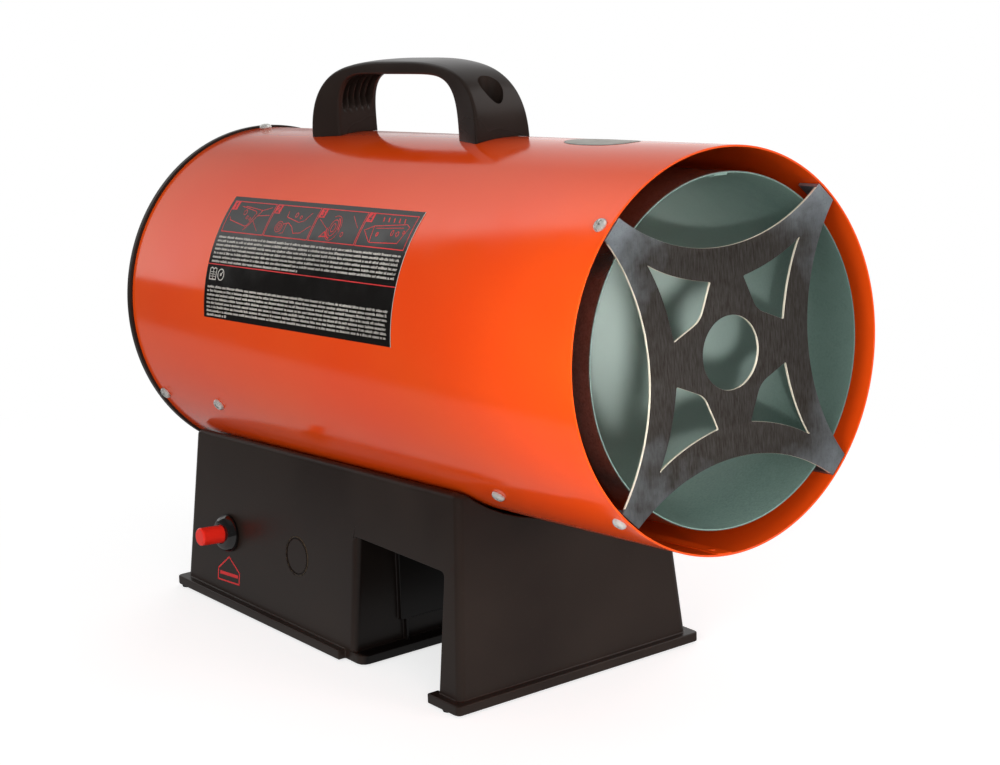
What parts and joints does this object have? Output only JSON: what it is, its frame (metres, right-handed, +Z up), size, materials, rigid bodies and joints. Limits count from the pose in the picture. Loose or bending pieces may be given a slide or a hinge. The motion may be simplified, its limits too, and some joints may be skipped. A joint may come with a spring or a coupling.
{
  "type": "gas heater",
  "caption": "Portable forced-air gas heater: a tilted steel tube with a burner, fan and front guard on a moulded base with a carrying handle and a push-button gas valve.",
  "frame": {"origin": "bottom centre of the whole heater's box, at the level of its feet", "axes": "+Z up, +Y along the tube from its outlet to its back, the push button on the -X side"},
  "size_m": [0.1926, 0.411, 0.3124],
  "materials": {
    "enamel": "gloss orange-red enamel",
    "galvanised": "dull galvanised sheet",
    "guard_plate": "mottled bare steel plate",
    "zinc": "bright zinc plate",
    "charcoal_plastic": "finely textured charcoal",
    "gloss_black": "polished black",
    "rubber": "matt black rubber",
    "red_plastic": "smooth bright red",
    "brass": "turned brass",
    "copper": "drawn copper",
    "ceramic": "glazed white ceramic",
    "alloy": "plain alloy",
    "label": "satin printed film"
  },
  "bodies": {
    "body": {"outer_casing": "enamel", "combustion_tube": "galvanised", "tube_stay_left": "galvanised", "tube_stay_right": "galvanised", "front_guard": "guard_plate", "guard_screw_1": "zinc", "guard_screw_2": "zinc", "guard_screw_3": "zinc", "guard_screw_4": "zinc", "stay_screw_1": "zinc", "stay_screw_2": "zinc", "bracket_screw_1": "zinc", "bracket_screw_2": "zinc", "bracket_screw_3": "zinc", "rear_guard_screw_1": "zinc", "rear_guard_screw_2": "zinc", "rear_guard_screw_3": "zinc", "rear_guard": "charcoal_plastic", "motor_bracket": "galvanised", "motor": "alloy", "burner_cup": "guard_plate", "burner_bracket": "guard_plate", "gas_nozzle": "brass", "electrode_insulator": "ceramic", "spark_electrode": "zinc", "overheat_thermostat": "brass", "handle": "charcoal_plastic", "handle_screw_1": "zinc", "handle_screw_2": "zinc", "instruction_label": "label", "casing_bolt_1": "zinc", "casing_bolt_2": "zinc", "grommet": "rubber", "base_housing": "charcoal_plastic", "bottom_plate": "galvanised", "plate_screw_1": "zinc", "plate_screw_2": "zinc", "foot_1": "rubber", "foot_2": "rubber", "foot_3": "rubber", "foot_4": "rubber", "gas_valve": "brass", "button_bezel": "gloss_black", "return_spring": "zinc", "microswitch": "charcoal_plastic", "inlet_pipe": "copper", "gas_inlet_fitting": "brass", "rocker_housing": "charcoal_plastic", "cable_gland": "rubber", "burner_pipe": "copper", "ignition_lead": "rubber", "thermocouple": "copper", "ignition_module": "gloss_black", "terminal_block": "ceramic"},
    "rotor": {"motor_shaft": "zinc", "fan": "alloy"},
    "button": {"push_button": "red_plastic", "valve_spindle": "zinc"},
    "rocker": {"power_rocker": "red_plastic"}
  },
  "joints": [
    {"name": "fan_spin", "type": "hinge", "parent": "body", "child": "rotor", "pos_m": [0, 0.10335, 0.17176], "axis": [0, 0.9976, -0.0698], "continuous": true},
    {"name": "button_press", "type": "slide", "parent": "body", "child": "button", "axis": [0.9962, 0, -0.0872], "range_m": [0, 0.007], "stiffness_N_per_m": 400, "springref_m": -0.004, "deforming": ["return_spring"]},
    {"name": "power_rock", "type": "hinge", "parent": "body", "child": "rocker", "pos_m": [0.016, 0.18506, 0.0432], "axis": [1, 0, 0], "range_deg": [-16, 0]}
  ]
}
